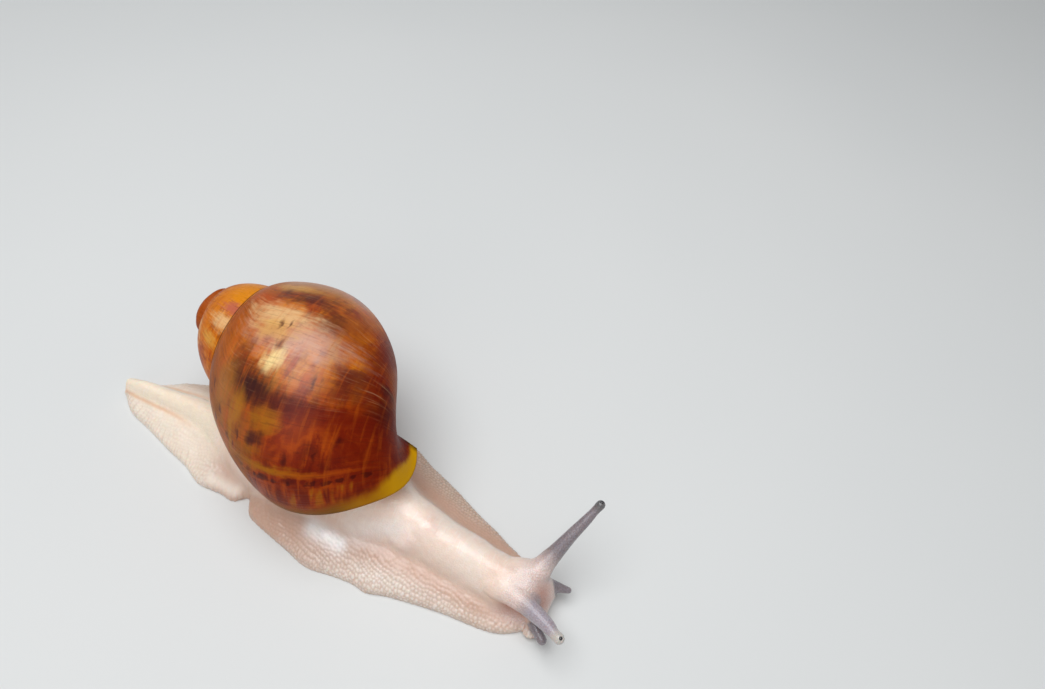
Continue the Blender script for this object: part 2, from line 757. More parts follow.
# name, colour, turn, around, half turn, half around, softness, strength, ragged
MARKS = [
    ("amber on the spire", (222, 136, 16), -8.35, -0.55, 0.6, 0.6, 0.6, 0.9, "spiral"),
    ("orange on the spire", (206, 116, 30), -7.8, -1.0, 0.6, 0.26, 0.7, 0.7, "spiral"),
    ("pink flame", PINK, -7.94, -0.41, 0.12, 0.34, 0.6, 0.95, "lines"),
    ("cream flame on the spire", CREAM, -7.66, -0.46, 0.12, 0.34, 0.8, 0.9, "lines"),
    ("low flame", STRAW, -7.3, -0.62, 0.1, 0.26, 0.6, 0.75, "lines"),
    ("ochre shoulder", OCHRE, -2.5, -0.55, 0.22, 0.75, 0.6, 0.8, "lines"),
    ("pale shoulder", STRAW, -2.38, -0.72, 0.08, 0.34, 0.6, 0.6, "lines"),
    ("maroon band", MAROON, -2.21, -0.34, 0.1, 0.46, 0.8, 0.8, "lines"),
    ("maroon band, right", MAROON, -2.0, 0.3, 0.16, 0.28, 0.8, 0.75, "lines"),
    ("amber right flank", (160, 76, 8), -2.1, 0.58, 0.5, 0.2, 0.8, 0.7, "lines"),
    ("dark right rim", MAROON, -1.3, 1.25, 0.25, 0.18, 0.9, 0.7, "lines"),
    ("red right rim", MAHOGANY, -2.0, 0.98, 0.6, 0.16, 0.9, 0.8, "lines"),
    ("amber left edge", (156, 74, 6), -1.75, -1.12, 0.8, 0.3, 0.8, 0.85, "spiral"),
    ("orange under the band", GLOW, -2.02, -0.88, 0.1, 0.3, 0.6, 0.7, "lines"),
    ("hazy crown", (206, 166, 144), -1.72, -0.08, 0.17, 0.6, 0.9, 0.65, "lines"),
    ("cream patch", CREAM, -1.9, -0.46, 0.12, 0.42, 0.8, 0.95, "lines"),
    ("cream patch, low", STRAW, -1.74, -0.34, 0.1, 0.3, 0.7, 0.6, "lines"),
    ("yellow spot", (240, 206, 140), -1.47, -0.15, 0.1, 0.1, 0.9, 1.0, "spiral"),
    ("below the yellow spot", STRAW, -1.34, 0.0, 0.12, 0.08, 0.9, 0.35, "spiral"),
    ("straw streak", STRAW, -1.42, 0.22, 0.2, 0.05, 0.8, 0.25, "spiral"),
    ("straw streak, right", STRAW, -1.62, 0.45, 0.18, 0.05, 0.8, 0.25, "spiral"),
    ("maroon blotch", BLACK, -1.19, -0.25, 0.115, 0.28, 0.8, 0.95, "spiral"),
    ("maroon blotch, right", MAROON, -1.14, 0.16, 0.08, 0.36, 0.9, 0.85, "spiral"),
    ("red under the ridge", MAHOGANY, -1.08, 0.66, 0.09, 0.46, 0.8, 0.85, "lines"),
    ("maroon blotch, left", MAROON, -1.3, -0.58, 0.16, 0.16, 0.7, 0.8, "spiral"),
    ("blotch above", MAROON, -1.52, -0.62, 0.1, 0.12, 0.7, 0.25, "lines"),
    ("plum patch", PLUM, -1.53, 0.8, 0.12, 0.2, 0.8, 0.8, "lines"),
    ("plum patch, low", PLUM, -1.34, 0.74, 0.09, 0.22, 0.9, 0.6, "spiral"),
    ("dark streak", BLACK, -1.6, 1.2, 0.05, 0.1, 0.6, 0.5, "spiral"),
    ("ochre flank", OCHRE, -1.05, -0.7, 0.3, 0.16, 0.7, 0.5, "spiral"),
    ("ochre triangle", OCHRE, -0.97, 0.08, 0.09, 0.14, 0.9, 0.75, "lines"),
    ("ochre at the left", OCHRE, -0.99, -0.37, 0.13, 0.09, 0.8, 0.85, "spiral"),
    ("ochre edge", OCHRE, -0.75, -0.42, 0.24, 0.05, 0.7, 0.85, "spiral"),
    ("dark under the triangle", MAROON, -0.8, 0.0, 0.05, 0.13, 0.6, 0.8, "lines"),
    ("ochre under it", OCHRE, -0.68, 0.02, 0.05, 0.1, 0.6, 0.3, "lines"),
    ("glow", GLOW, -0.92, 0.5, 0.14, 0.12, 0.8, 0.25, "spiral"),
    ("ochre line", OCHRE, -0.535, 0.16, 0.036, 0.42, 0.9, 0.8, "lines"),
    ("ochre line, right", GLOW, -0.525, 0.78, 0.03, 0.3, 0.9, 0.5, "lines"),
    ("glow above the lip", GLOW, -0.28, 0.48, 0.11, 0.66, 0.6, 0.3, "lines"),
]
# single dark dashes: turn, around, half turn, half around
DASHES = [
    (-1.81, -0.36, 0.045, 0.02), (-1.84, -0.21, 0.04, 0.02), (-1.63, -0.17, 0.05, 0.035),
    (-1.37, 0.44, 0.06, 0.022), (-0.76, -0.05, 0.04, 0.05), (-0.65, 0.43, 0.05, 0.03),
    (-0.72, 0.69, 0.06, 0.018), (-0.87, 0.88, 0.045, 0.026), (-0.66, -0.45, 0.04, 0.025),
    (-0.76, -0.27, 0.06, 0.022), (-0.62, -0.32, 0.05, 0.02), (-0.83, -0.66, 0.04, 0.025),
    (-0.93, -0.95, 0.05, 0.024), (-0.8, -1.02, 0.04, 0.02), (-0.7, -0.82, 0.055, 0.022),
]
# two rows of beads on one growth line, small ones and fewer large ones:
# turn, from, to, spacing, half turn, half around, strength
BEAD_ROWS = [(-0.44, -0.2, 1.26, 0.125, 0.03, 0.034, 0.8),
             (-0.44, -0.2, 0.8, 0.34, 0.036, 0.07, 0.8)]


def shell_material():
    look, g = new_material("polished_shell", 0.3)
    mixed, over, span, times = g.mixed, g.over, g.span, g.times
    growth = g.add("UVMap", {}, uv_map="growth").outputs["UV"]
    place = g.place()
    true_turn, true_around, _ = g.split(growth)
    # the marks' edges waver a little
    wave = g.add("TexNoise", {"Vector": growth, "Scale": 7.0, "Detail": 4.0}).outputs["Color"]
    shake = g.add("VectorMath", {0: wave, 1: (0.5, 0.5, 0.5)}, operation="SUBTRACT").outputs[0]
    moved = g.add("VectorMath", {0: shake, 1: (0.12, 0.22, 0.0), 2: growth},
                  operation="MULTIPLY_ADD").outputs[0]
    turn, around, _ = g.split(moved)

    def stretched(along_turn, along_around, *others):
        return g.stretched(growth, (along_turn, along_around, 1.0), *others)

    def oval(where, sizes, label="", **others):
        names = ("Turn", "Around", "At turn", "At around", "Half turn", "Half around")
        return g.group(OVAL, dict(zip(names, (*where, *sizes)), **others), label)

    lines = stretched(22.0, 3.4, 3.0, 0.3, 0.55)       # thin along growth lines
    spiral = stretched(3.4, 14.0, 3.0, 0.4, 0.55)      # thin along the coil
    # ground colour
    cloud = stretched(2.4, 2.6, 5.0, 0.8, 0.6)
    upper = mixed(span(cloud, 0.36, 0.62), RUST, AMBER)
    upper = over(upper, GLOW, span(spiral, 0.46, 0.64), 0.5)
    flank = span(g.times_plus(cloud, 1.2, around), 0.25, 1.05)
    lower = mixed(flank, TAWNY, mixed(span(cloud, 0.40, 0.66), MAHOGANY, RUST))
    lower = over(lower, GLOW, span(spiral, 0.52, 0.70), 0.32)
    edge = g.times_plus(g.minus(lines, 0.5), 0.5, turn)
    ground = mixed(span(edge, -1.42, -1.06), upper, lower)
    mottle = stretched(5.0, 4.5, 3.0, 1.0, 0.5)
    ground = over(ground, GLOW, span(mottle, 0.50, 0.66), 0.40)
    ground = over(ground, MAROON, span(mottle, 0.46, 0.34), 0.35)
    # darker towards the column, on the right
    ground = over(ground, MAHOGANY, span(around, 0.70, 1.10), 0.7)
    # blotches and flames on the older whorls, most of them on the far side
    older = span(turn, -2.75, -2.95)
    spire = span(turn, -6.1, -6.5)
    blotch = span(stretched(3.4, 2.4, 4.0, 0.8), 0.54, 0.66)
    ground = over(ground, MAROON, blotch, g.minus(older, spire), 0.85)
    flame = span(stretched(3.3, 1.2, 4.0, 0.9), 0.57, 0.68)
    ground = over(ground, CREAM, flame, older, 0.7)
    ground = over(ground, AMBER, spire, span(lines, 0.5, 0.66), 0.6)
    ground = over(ground, (160, 74, 20), span(turn, -10.2, -12.0))
    # the marks
    for name, paint, *sizes, soft, strength, ragged in MARKS:
        mark = oval((turn, around), sizes, name, Soft=soft, Strength=strength, Ragged=1.9,
                    Streaks=lines if ragged == "lines" else spiral)
        ground = over(ground, paint, mark)
    for sizes in DASHES:
        dash = oval((turn, around), sizes, Soft=0.9, Strength=0.75, Streaks=spiral, Ragged=1.6)
        ground = over(ground, MAROON, dash)
    for row in BEAD_ROWS:
        names = ("At turn", "From", "To", "Spacing", "Half turn", "Half around", "Strength")
        beads = g.group(BEADS, {"Turn": turn, "Around": around, **dict(zip(names, row))})
        ground = over(ground, MAROON, beads)
    # bars near the lip, where colour was laid down at fixed places of its edge
    bars = stretched(1.6, 11.0, 2.0, 0.15)
    barred = times(span(turn, -0.40, -0.33), span(turn, -0.10, -0.18))
    barred = times(barred, span(around, 1.3, 1.15))
    ground = over(ground, (98, 18, 4), barred, span(bars, 0.42, 0.56), 0.75)
    ground = over(ground, OCHRE, barred, span(bars, 0.44, 0.32), 0.5)
    # streaks: soft orange ones along the coil, thin pale and dark ones along growth lines
    threads = span(stretched(1.6, 16.0, 3.0, 0.4), 0.52, 0.72)
    ground = over(ground, (190, 88, 12), threads, 0.28)
    fine = stretched(46.0, 2.2, 4.0, 0.3, 0.6)
    aged = span(turn, -0.9, -1.5)
    ground = over(ground, (222, 170, 124), span(fine, 0.54, 0.76), aged, 0.24)
    ground = over(ground, (60, 14, 4), span(fine, 0.47, 0.30), 0.32)
    speck = span(g.noise(place, 1500.0), 0.55, 0.75)
    ground = over(ground, (60, 16, 6), speck, 0.16)
    # the suture: a thin dark line, and a pale margin along the newer whorl
    off_seam = g.ratio(g.attribute("from_seam"), span(true_turn, -18.0, -6.0, 0.3, 1.0))
    newer = times(span(true_around, -0.8, -1.0), span(off_seam, 0.15, 0.4))
    margin = times(newer, span(off_seam, 1.3, 0.7))
    ground = over(ground, (204, 148, 84), margin, span(lines, 0.3, 0.6), 0.5)
    ground = over(ground, (62, 20, 10), span(off_seam, 0.26, 0.08), 0.75)
    # the newest shell: a yellow band that widens at the front corner
    inner = g.plus(span(true_around, 0.6, 1.15, -0.07, -0.14),
                   span(true_around, 1.14, 1.56, 0.0, -0.30))
    inner = g.plus(inner, span(true_around, 1.56, 1.8, 0.0, 0.12))
    fresh = g.minus(g.times_plus(g.minus(spiral, 0.5), 0.10, true_turn), inner)
    yellow = mixed(span(true_around, 0.85, 1.15), (122, 78, 8), (166, 108, 4))
    yellow = mixed(span(true_around, 1.2, 1.45), yellow, (200, 144, 2))
    ground = over(ground, (150, 74, 6), span(fresh, -0.12, 0.03), 0.75)
    ground = over(ground, yellow, span(fresh, -0.07, 0.10))
    # the mouth's inside is a pale glaze
    ground = over(ground, (206, 186, 160), g.math("GREATER_THAN", true_turn, 1.0))

    # relief: growth lines, one double ridge where growth once rested, and a fine grain
    ridge, second = [
        oval((true_turn, true_around), sizes, Soft=0.5, Ragged=0.0)
        for sizes in ((-1.21, 0.6, 0.010, 0.55), (-1.175, 0.75, 0.008, 0.45))]
    grain = g.group(GRAIN, {"Vector": place, "Size": 0.0005, "Roughness": 0.7})
    height = g.times_plus(fine, 0.8, times(stretched(34.0, 1.2, 2.0), 0.8))
    for part, strength in ((grain, 0.55), (ridge, 0.8), (second, 0.6)):
        height = g.times_plus(part, strength, height)
    g.relief(height, 0.5, 0.00012)
    g.film(place, 0.009, 0.42, 0.30)
    # the crown is polished, the flanks near the ground are duller
    polish = times(span(g.split(place)[2], 0.024, 0.036, 0.0, 0.75),
                   span(true_around, 0.3, 0.8, 1.0, 0.1))
    polish = times(polish, span(true_turn, -6.4, -6.1, 0.3, 1.0))
    polish = times(polish, span(true_around, -1.1, -0.7, 0.1, 1.0))
    g.surface({"Base Color": ground, "Coat Weight": polish, "Coat Roughness": 0.3,
               "Specular IOR Level": 0.06})
    return look


shell_tree = BVHTree.FromBMesh(shell_bm)
finished("shell_painted", shell_bm, shell_material(), ["shell"])

# %% [markdown]
# ## The soft body
#
# A crawling snail is one muscle: the broad foot with its thin skirt, and on it the
# rounded ridge of head, neck, back and tail. Sections across the body, strung along its
# length, make that shape. The sizes are those of the measured blocks.

# %% Sizes of the body
# (y, middle x, half width) of the sole
SOLE = [
    (-44.4, -3.2, 2.4), (-43.2, -3.3, 4.7), (-39.0, -3.2, 7.4), (-28.0, -2.2, 10.1),
    (-13.0, -1.2, 14.2), (0.0, 0.0, 16.6), (21.0, -0.3, 13.2), (37.0, -1.1, 10.2),
    (46.5, -2.1, 7.0), (54.0, -3.7, 3.6), (56.9, -4.2, 1.2),
]
# (y, reach, spread): where the right edge of the sole swells out or is drawn in
RIGHT_LOBES = [(29.0, 1.3, 3.8), (18.0, -2.8, 1.6), (-1.0, 0.8, 4.0), (-14.0, 0.7, 2.2)]
# (y, middle x, half width, top z) of the ridge
RIDGE = [
    (-46.4, -1.2, 2.0, 4.4), (-45.6, -1.3, 3.6, 6.5), (-44.0, -1.5, 4.8, 8.3),
    (-41.0, -1.8, 5.3, 9.5), (-36.0, -2.1, 5.4, 9.6), (-24.0, -1.9, 5.7, 10.8),
    (-14.0, -1.2, 6.8, 12.2), (-8.0, -0.5, 8.4, 14.2), (2.0, 0.6, 11.2, 17.0),
    (12.0, 1.0, 12.2, 17.5), (20.0, 0.6, 11.2, 15.0), (28.0, -0.6, 7.8, 10.0),
    (34.0, -1.1, 4.8, 8.0), (42.0, -1.6, 3.0, 6.8), (54.0, -2.7, 2.2, 5.6),
    (57.6, -3.1, 1.5, 4.8),
]
SKIRT = [(-46.4, 2.4), (-40.0, 3.0), (-30.0, 4.4), (-12.0, 5.4), (6.0, 6.4), (24.0, 5.4),
         (40.0, 4.3), (54.0, 3.4), (57.6, 3.0)]
CHIN = [(-46.4, 1.9), (-45.0, 1.1), (-44.2, 0.0), (57.0, 0.0), (57.6, 1.6)]
RIM_HEIGHT, EDGE_ROUND = 1.3, 0.6
HEAD_TIP_Y, TAIL_TIP_Y = -46.4, 57.6
BODY_ROWS, TOP_POINTS, SOLE_POINTS, PROFILE_STEPS = 170, 90, 8, 240
DOME_FULL, DOME_POWER, MELT = 2.3, 0.62, 0.8       # how the ridge rises out of the skirt
CROWDED = 0.45


def bump_sum(table, y):
    return sum(reach * math.exp(-((y - at) / spread) ** 2) for at, reach, spread in table)


def sole_edges(y):
    """x of the foot's right and left edges."""
    middle, half = smooth_value(SOLE, y), smooth_value(SOLE, y, 2)
    ridge_mid, ridge_half = smooth_value(RIDGE, y, 1), smooth_value(RIDGE, y, 2)
    right = min(middle - half - bump_sum(RIGHT_LOBES, y), ridge_mid - ridge_half)
    return right, max(middle + half, ridge_mid + ridge_half)


def body_ring(y):
    """One section across the body, as a ring that starts at the right edge of the sole."""
    bottom = smooth_value(CHIN, y)
    mid, half, top = (smooth_value(RIDGE, y, k) for k in (1, 2, 3))
    skirt = smooth_value(SKIRT, y)
    right, left = sole_edges(y)
    rim = min(RIM_HEIGHT, 0.5 * (skirt - bottom))

    def height(x):
        across = (2 * x - left - right) / (left - right)
        slope = bottom + rim + (skirt - bottom - rim) * (1 - across * across)
        u = min(1.0, abs(x - mid) / half)
        dome = bottom + (top - bottom) * (1 - u ** DOME_FULL) ** DOME_POWER
        merged = 0.5 * (slope + dome + math.hypot(slope - dome, MELT))
        past = (EDGE_ROUND - min(x - right, left - x)) / EDGE_ROUND
        round_off = math.sqrt(max(0.0, 1 - max(0.0, past) ** 2))
        return bottom + (merged - bottom) * round_off

    xs = [0.5 * (left + right) - 0.5 * (left - right) * math.cos(turn)
          for turn in spaced(0, math.pi, PROFILE_STEPS)]
    zs = [height(x) for x in xs]
    run = running_length(list(zip(xs, zs)))
    evenly = spaced(0, run[-1], TOP_POINTS - 1)
    ring = [Vector((x, y, z)) for x, z in zip(np.interp(evenly, run, xs),
                                              np.interp(evenly, run, zs))]
    for part in spaced(0, 1, SOLE_POINTS + 1)[1:-1]:
        ring.append(Vector((left + (right - left) * part, y, bottom)))
    return ring + ring[:1]


def body_rows():
    """Places along the body, closer together towards both ends."""
    middle, reach = 0.5 * (TAIL_TIP_Y + HEAD_TIP_Y), 0.5 * (TAIL_TIP_Y - HEAD_TIP_Y)
    return [middle + reach * ((1 - CROWDED) * part + CROWDED * math.sin(part * math.pi / 2))
            for part in spaced(-1.0, 1.0, BODY_ROWS)]


body_bm = close_up(sheet_of([body_ring(y) for y in body_rows()]))
print("the body's loft has", len(body_bm.faces), "faces")

# %% [markdown]
# ## Tentacles and lips
#
# A tentacle is a hollow finger of skin that can be turned inside out like the finger of
# a glove. Stretched, it has a broad root that flows out of the head, a slim stalk and a
# round bulb. Each is a stack of rings on a smooth path. The path starts inside the neck
# with a wide ring, so that root and head melt together. The lobes beside the mouth are
# soft balls.

# %% Tentacles and mouth lobes
# stations along each one: x, y, z and radius; the last is the middle of the bulb
FINGERS = {
    "upper_left": [
        (-1.8, -36.2, 5.6, 3.6), (-0.5, -39.4, 6.4, 3.35), (0.9, -41.7, 8.0, 2.65),
        (2.9, -42.5, 9.6, 1.95), (5.0, -43.4, 11.2, 1.55), (8.0, -44.6, 13.4, 1.24),
        (11.2, -46.0, 15.6, 1.02), (13.1, -46.75, 16.95, 0.86), (14.18, -47.2, 17.75, 0.95)],
    "upper_right": [
        (-3.2, -34.8, 5.4, 3.4), (-4.1, -38.0, 6.3, 3.1), (-4.9, -41.0, 6.9, 2.45),
        (-5.6, -43.4, 7.35, 1.95), (-6.5, -45.9, 7.8, 1.55), (-7.5, -48.4, 8.3, 1.26),
        (-8.1, -49.5, 8.55, 1.02), (-8.52, -50.6, 8.78, 1.10)],
    "lower_left": [
        (-0.6, -41.0, 4.6, 2.3), (0.7, -43.6, 4.5, 1.75), (1.5, -45.4, 4.2, 1.2),
        (2.0, -47.0, 3.8, 0.85), (2.35, -48.1, 3.6, 0.66)],
    "lower_right": [
        (-4.2, -40.6, 3.9, 2.3), (-5.4, -43.4, 3.9, 1.7), (-6.9, -45.6, 3.6, 1.15),
        (-7.9, -47.0, 3.4, 0.98), (-8.4, -47.8, 3.3, 0.95)],
}


LOOK_BACK = 0.3                         # mm, to find the way that the path goes
END_RINGS, END_FROM, END_TO = 8, 0.12, math.pi / 2 - 0.05


def finger(stations, rings=70, sides=30):
    """A bent, tapering finger with a round end."""
    run = running_length([station[:3] for station in stations])
    table = [(s, *station) for s, station in zip(run, stations)]

    def middle(s):
        return Vector([smooth_value(table, s, k) for k in (1, 2, 3)])

    outline = [(s, 0.0, smooth_value(table, s, 4)) for s in spaced(0, run[-1], rings)]
    bulb = stations[-1][3]
    outline += [(run[-1], bulb * math.sin(a), bulb * math.cos(a))
                for a in spaced(END_FROM, END_TO, END_RINGS)]
    rows = []
    for s, beyond, radius in outline:
        ahead = max(s, LOOK_BACK)
        along = (middle(ahead) - middle(ahead - LOOK_BACK)).normalized()
        side = along.cross(Vector((0, 0, 1))).normalized()
        other = along.cross(side)
        place = middle(s) + along * beyond
        rows.append([place + side * (radius * math.cos(a)) + other * (radius * math.sin(a))
                     for a in spaced(0, 2 * math.pi, sides)])
    return close_up(sheet_of(rows))


# middle and half sizes
MOUTH_LOBES = [((0.9, -45.0, 2.0), (1.6, 1.4, 1.1)), ((-7.1, -44.9, 1.15), (1.5, 1.7, 1.05))]
# the mantle's outlines: inset from the lip, and how far out of the opening
MANTLE = [(1.35, 0.55), (0.95, 0.30), (0.85, -0.2), (0.85, -2.0)]


def ball(middle, radii, detail=(24, 16)):
    bm = bmesh.new()
    bmesh.ops.create_uvsphere(bm, u_segments=detail[0], v_segments=detail[1], radius=1.0)
    bmesh.ops.transform(bm, matrix=Matrix.Translation(middle) @ Matrix.Diagonal((*radii, 1.0)),
                        verts=bm.verts)
    return bm


for stations in FINGERS.values():
    joined(body_bm, finger(stations))
for middle, radii in MOUTH_LOBES:
    joined(body_bm, ball(middle, radii))
joined(body_bm, plug(MANTLE))
print("with tentacles, lobes and mantle:", len(body_bm.faces), "faces")

# %% [markdown]
# ## One skin
#
# The pieces still run through each other. A voxel remesh wraps them in one closed skin:
# it fills the space with tiny cubes and keeps the surface. The price is a slightly
# stepped surface, which a few rounds of smoothing remove. Where a tentacle leaves the
# head, more rounds melt the crease into a soft fillet.

# %% Wrap the body in one skin
VOXEL = 0.257


SOLE_BAND, TAIL_END = 0.25, 54.0        # points this low stay flat; the tail's last part
ALL_OVER, AT_ROOTS, AT_TAIL = 3, 14, 30             # rounds of smoothing
# middle and reach of the places where tentacles leave the head
ROOTS = [((0.6, -41.4, 7.8), 4.2), ((-4.8, -41.2, 7.2), 4.2),
         ((0.9, -44.6, 4.4), 2.2), ((-6.0, -44.4, 3.6), 2.2)]


def smooth(bm, verts, rounds):
    for _ in range(rounds):
        bmesh.ops.smooth_vert(bm, verts=verts, factor=0.5, use_axis_x=True,
                              use_axis_y=True, use_axis_z=True)


skin_bm = modified(as_object("body", body_bm), "REMESH", mode="VOXEL", voxel_size=VOXEL)
print("the wrapped skin has", len(skin_bm.faces), "faces")
above_sole = [v for v in skin_bm.verts if v.co.z > SOLE_BAND]
smooth(skin_bm, above_sole, ALL_OVER)
for root, reach in ROOTS:
    smooth(skin_bm, [v for v in above_sole if (v.co - Vector(root)).length < reach], AT_ROOTS)
smooth(skin_bm, [v for v in above_sole if v.co.y > TAIL_END], AT_TAIL)

# %% [markdown]
# ## Where on the body
#
# Skin differs from place to place: fine on the neck, cobbled on the skirt, grooved at
# the fringe. Each point of the skin gets a few numbers from 0 to 1 that say where it
# is. They steer the relief here, and the material reads them too, as attributes.
# Two more numbers are the skin's own map: the place along the body, and the distance
# from the middle of the ridge, measured over the skin as with a tape.

# %% Zones of the skin
points = np.array([v.co[:] for v in skin_bm.verts])
xs, ys, zs = points.T
steps = np.arange(HEAD_TIP_Y - 8, TAIL_TIP_Y + 2, 0.5)


def along_body(function):
    return np.interp(ys, steps, [function(float(y)) for y in steps])


ridge_mid = along_body(lambda y: smooth_value(RIDGE, y, 1))
ridge_half = along_body(lambda y: smooth_value(RIDGE, y, 2))
right_edge = along_body(lambda y: sole_edges(y)[0])
left_edge = along_body(lambda y: sole_edges(y)[1])
edge_far = np.minimum(xs - right_edge, left_edge - xs)
off_ridge = np.abs(xs - ridge_mid) / ridge_half
TAPE_START, TAPE_END, TAPE_STEP, TAPE_PARTS = -46.0, 57.5, 2.0, 59


def tape_measure():
    """Distance over the skin from the middle of the ridge, less than 0 on the right."""
    table_y = np.arange(TAPE_START, TAPE_END, TAPE_STEP)
    runs = []
    for y in table_y.tolist():
        ring = body_ring(y)[:TOP_POINTS]
        ring_x = np.array([p.x for p in ring])
        run = np.array(running_length([(p.x, p.z) for p in ring]))
        run -= np.interp(smooth_value(RIDGE, y, 1), ring_x, run)
        runs.append(np.interp(spaced(ring_x[0], ring_x[-1], TAPE_PARTS), ring_x, run))
    runs = np.array(runs)
    across = np.clip((xs - right_edge) / (left_edge - right_edge), 0, 1) * TAPE_PARTS
    along = np.clip((ys - TAPE_START) / TAPE_STEP, 0, len(table_y) - 1.001)
    i, j = along.astype(int), np.minimum(across.astype(int), TAPE_PARTS - 1)
    u, w = along - i, across - j
    return (runs[i, j] * (1 - u) * (1 - w) + runs[i + 1, j] * u * (1 - w)
            + runs[i, j + 1] * (1 - u) * w + runs[i + 1, j + 1] * u * w)


taped = tape_measure()


def along_line(start, end):
    """How far each point is along the line, as parts of it, and how far off its ends."""
    a, b = np.array(start), np.array(end)
    part = (points - a) @ (b - a) / max(1e-9, (b - a) @ (b - a))
    off = np.linalg.norm(points - a - np.clip(part, 0, 1)[:, None] * (b - a), axis=1)
    return part, off


def near_line(start, end, radius):
    """1 on the line from start to end, falling softly to 0 about radius away."""
    return np.exp(-(along_line(start, end)[1] / radius) ** 2)


def bell(values, middle, width):
    return np.exp(-((values - middle) / width) ** 2)


head_end = 1 - 0.95 * step_up(off_ridge, 0.98, 1.2) * step_up(ys, -46.5, -45.5)
zones = {
    "ridge": 1 - step_up(off_ridge, 0.82, 1.12),
    "fringe": 1 - step_up(edge_far, 0.3, 3.6),
    "head": (1 - step_up(ys, -42.0, -35.0)) * head_end,
    "tail": step_up(ys, 22.0, 34.0),
    "far_side": step_up(xs - ridge_mid, 3.0, 6.5),
    "rear_lobe": (step_up(ys, 6.4, 7.6) * (1 - step_up(ys, 17.0, 23.0))
                  * (1 - step_up(xs, -12.0, -8.5))),
    "hollow": np.maximum(near_line((-7.0, -39.6, 4.4), (-6.6, -41.6, 4.4), 1.9),
                         0.9 * near_line((-2.2, -44.4, 7.0), (-3.6, -45.4, 5.6), 2.1)),
    "swelling": np.maximum(near_line((-7.0, -16.6, 6.6), (-5.6, -17.4, 8.7), 1.8),
                           0.8 * near_line((-4.0, -18.9, 10.4), (-2.6, -19.6, 11.3), 1.8)),
    "groove": (bell(off_ridge, 1.2, 0.36) * (1 - step_up(ys, 24, 30))
               * step_up(ys, -46, -34)),
    "crease": bell(off_ridge, 1.04, 0.15) * step_up(ys, 34.0, 46.0),
    "pale_lobe": near_line((-12.2, 26.5, 2.4), (-11.9, 20.5, 2.2), 1.5),
    "wet": np.maximum(near_line((-11.4, 1.3, 4.3), (-11.4, -5.0, 3.9), 1.9),
                      0.6 * near_line((-9.5, -7.0, 6.5), (-5.5, -14.0, 9.2), 2.8)),
    "stalk": np.zeros(len(points)),
    "bulb": np.zeros(len(points)),
}
for name, stations in FINGERS.items():
    upper_one = "upper" in name
    free = stations[2 if upper_one else 1:]         # the part that stands out of the head
    tip, bulb = free[-1][:3], free[-1][3]
    wide = max(station[3] for station in free[1:])
    close = np.zeros(len(points))
    for a, b in zip(free[1:], free[2:] + free[-1:]):
        away = along_line(a[:3], b[:3])[1]
        close = np.maximum(close, 1 - step_up(away, 1.15 * wide, 1.7 * wide))
    reach = along_line(free[0][:3], tip)[0]
    zones["stalk"] = np.maximum(zones["stalk"], close * step_up(reach, 0.02, 0.38))
    if upper_one:
        away = along_line(tip, tip)[1]
        zones["bulb"] = np.maximum(zones["bulb"], 1 - step_up(away, 0.7 * bulb, 2.1 * bulb))
zones["right_stalk"] = zones["stalk"] * (1 - step_up(xs, -1.5, 0.5)) * step_up(zs, 4.9, 6.2)
for name, zone in zones.items():
    print(f"{name}: {np.mean(zone > 0.5):.1%} of the skin")

# %% [markdown]
# ## Relief of the skin
#
# Tubercles are small cushions with furrows between them, in slightly wavering rows. We
# lay a staggered grid of centres over the skin's own map, shake it a little, and ask
# every point for its nearest and second nearest centre. Where both are equally far lies
# a furrow. Larger forms, such as the swelling on the neck, are added on top.

# %% Tubercles, furrows and fringe
TUBERCLE_HIGH, FURROW_DEEP, UNEVEN, SWELLING_HIGH, HOLLOW_DEEP = 0.14, 0.13, 0.22, 0.6, 0.7


def shaken(rows, columns):
    """Two numbers between -0.5 and 0.5 for each cell, always the same ones."""
    a = np.sin(rows * 127.1 + columns * 311.7) * 43758.5453
    b = np.sin(rows * 269.5 + columns * 183.3) * 43758.5453
    return a - np.floor(a) - 0.5, b - np.floor(b) - 0.5


def cushions(u, v, size_u, size_v, shake=0.6):
    """0 in the furrows to 1 on the cushions, over a staggered grid of cells."""
    row = np.floor(v / size_v)
    nearest = np.full(len(u), 9.0)
    second = np.full(len(u), 9.0)
    for dr in (-1, 0, 1):
        r = row + dr
        stagger = 0.5 * np.mod(r, 2)
        column = np.floor(u / size_u - stagger)
        for dc in (-1, 0, 1):
            c = column + dc
            sx, sy = shaken(r, c)
            du = u / size_u - (c + 0.5 + stagger + shake * sx)
            dv = v / size_v - (r + 0.5 + shake * sy)
            far = np.hypot(du, dv)
            second = np.where(far < nearest, nearest, np.minimum(second, far))
            nearest = np.minimum(nearest, far)
    return np.clip((second - nearest) / 0.55, 0, 1)


# three fixed places in one noise, so that every run gives the same skin
WAVES = [Vector((0.0, 0.0, 0.0)), Vector((31.4, 7.1, 15.9)), Vector((-12.3, 47.0, 9.8))]
wavering = np.array([[noise.noise(Vector(p) * 0.22 + wave) for wave in WAVES] for p in points])
lengthways, girth = ys + 0.9 * wavering[:, 0], taped + 0.9 * wavering[:, 1]
large = cushions(lengthways, girth, 0.76, 0.84)
small = cushions(lengthways, girth, 0.70, 0.76)
tubercle = large * (1 - zones["far_side"]) + small * zones["far_side"]
tubercle = tubercle * tubercle * (3 - 2 * tubercle)

